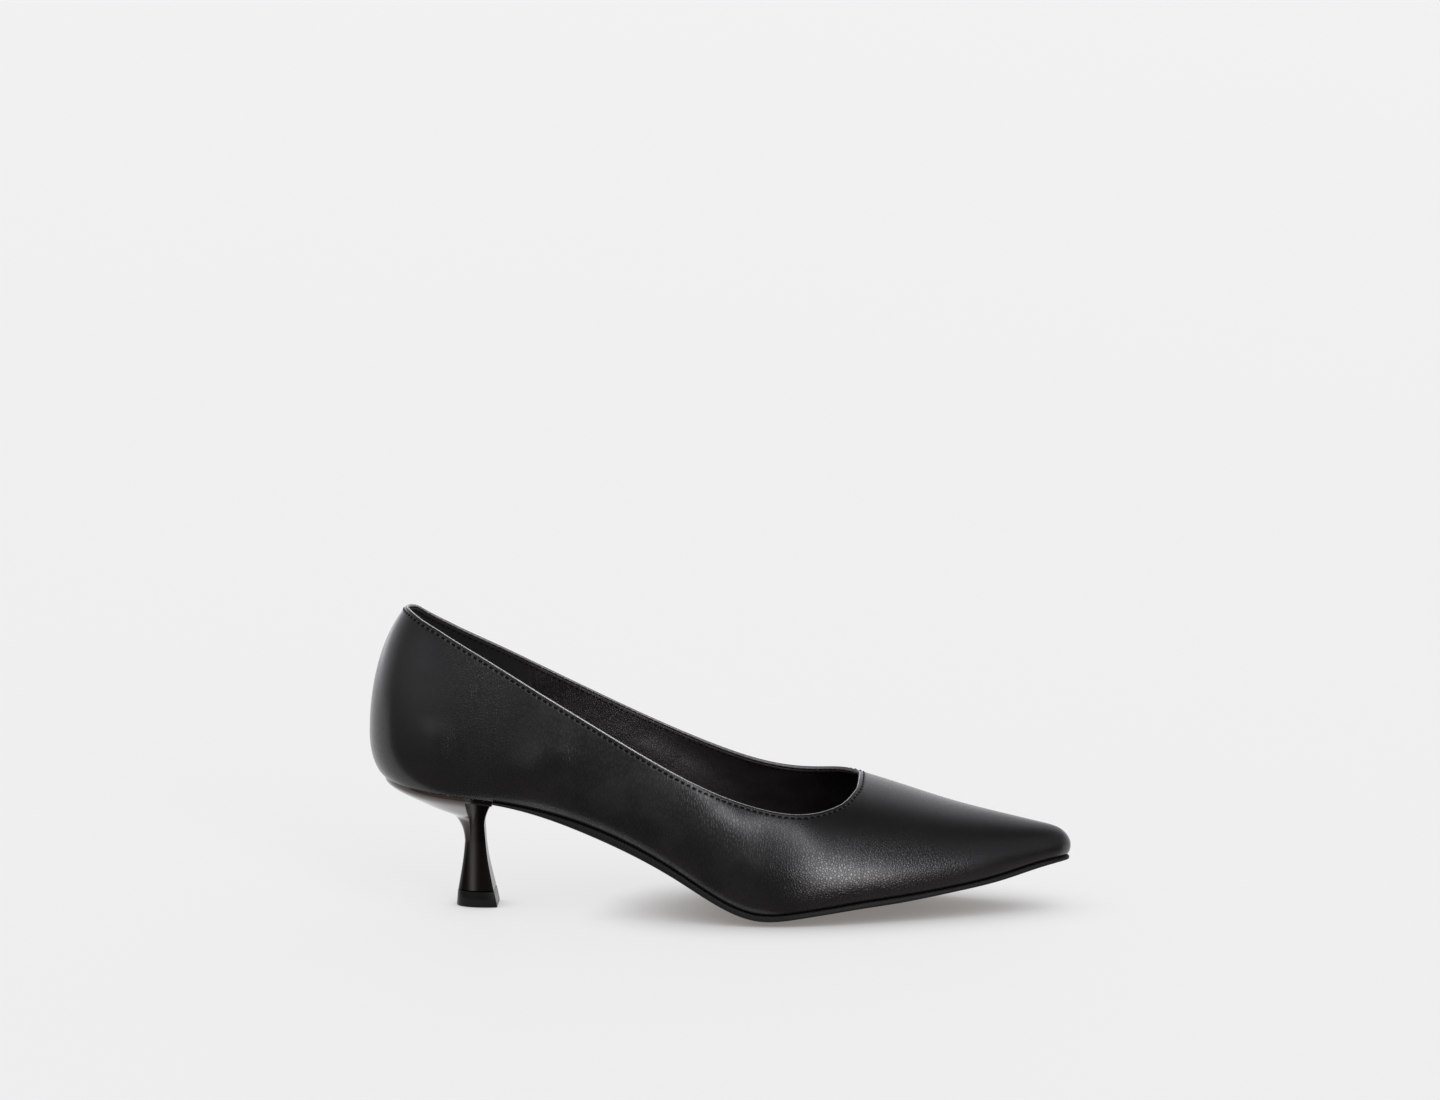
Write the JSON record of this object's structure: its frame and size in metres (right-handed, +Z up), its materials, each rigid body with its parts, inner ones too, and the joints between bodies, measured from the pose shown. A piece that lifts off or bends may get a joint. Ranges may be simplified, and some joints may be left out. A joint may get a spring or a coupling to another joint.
{
  "type": "pointed toe pump",
  "caption": "Black low-cut pump with a pointed toe, hollow upper, thin arched sole and a slim flared kitten heel; worn on a foot.",
  "frame": {"origin": "on the floor under the middle of the shoe's box", "axes": "+X towards the toe, +Y towards the inner side of the foot, +Z up"},
  "size_m": [0.25, 0.0788, 0.1082],
  "materials": {
    "upper": "satin, fine grain",
    "insole": "matte",
    "outsole": "satin edge, matte tread",
    "heel": "gloss",
    "heel_tip": "satin"
  },
  "bodies": {
    "root": {"upper": "upper", "insole": "insole", "outsole": "outsole", "heel": "heel", "heel_tip": "heel_tip"}
  },
  "joints": []
}
